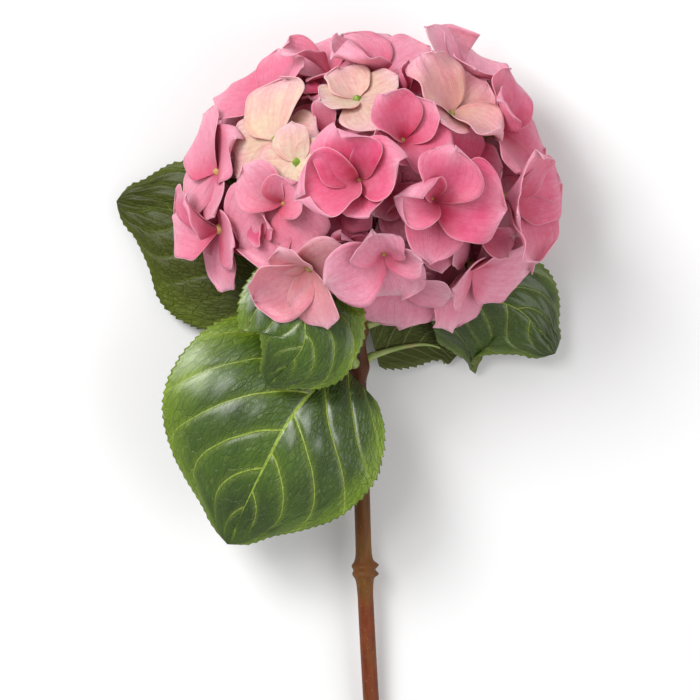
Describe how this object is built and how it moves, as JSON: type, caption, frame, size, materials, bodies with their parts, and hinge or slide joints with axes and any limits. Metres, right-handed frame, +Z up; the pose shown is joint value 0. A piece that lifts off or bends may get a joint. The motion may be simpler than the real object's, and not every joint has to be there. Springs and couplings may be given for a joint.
{
  "type": "cut hydrangea",
  "caption": "Cut mophead hydrangea lying on its back: a dome of pink four-petalled florets, glossy veined leaves and a brown woody stem with a slanting cut",
  "frame": {"origin": "on the table, under the middle of the whole flower's bounding box", "axes": "+Y runs up the stem from its cut end to the flower head; +Z is up from the table, and the face of the head looks up it; +X is across the head"},
  "size_m": [0.2006, 0.3652, 0.1253],
  "materials": {
    "petal": "soft satin pink sepals, paler at the rims and cream on the youngest florets",
    "leaf": "quilted dark green blade with a waxy sheen and paler raised veins",
    "green_stalk": "matt pale green stalk",
    "bark": "satin brown bark, smooth between the nodes, with leaf scars at the bare node"
  },
  "bodies": {
    "root": {"floret_01": "petal", "floret_02": "petal", "floret_03": "petal", "floret_04": "petal", "floret_05": "petal", "floret_06": "petal", "floret_07": "petal", "floret_08": "petal", "floret_09": "petal", "floret_10": "petal", "floret_11": "petal", "floret_12": "petal", "floret_13": "petal", "floret_14": "petal", "floret_15": "petal", "floret_16": "petal", "floret_17": "petal", "floret_18": "petal", "floret_19": "petal", "floret_20": "petal", "floret_21": "petal", "floret_22": "petal", "floret_23": "petal", "floret_24": "petal", "floret_25": "petal", "floret_26": "petal", "floret_27": "petal", "floret_28": "petal", "floret_29": "petal", "floret_30": "petal", "floret_31": "petal", "floret_32": "petal", "floret_33": "petal", "floret_34": "petal", "floret_back_01": "petal", "floret_back_02": "petal", "floret_back_03": "petal", "floret_back_04": "petal", "floret_back_05": "petal", "floret_back_06": "petal", "floret_back_07": "petal", "floret_back_08": "petal", "floret_back_09": "petal", "floret_back_10": "petal", "floret_back_11": "petal", "floret_back_12": "petal", "flower_ray_1": "green_stalk", "flower_ray_2": "green_stalk", "flower_ray_3": "green_stalk", "flower_ray_4": "green_stalk", "flower_ray_5": "green_stalk", "flower_ray_6": "green_stalk", "flower_ray_7": "green_stalk", "leaf_front_large": "leaf", "leaf_front_small": "leaf", "leaf_left": "leaf", "leaf_right": "leaf", "leaf_right_under": "leaf", "stem": "bark"}
  },
  "joints": []
}
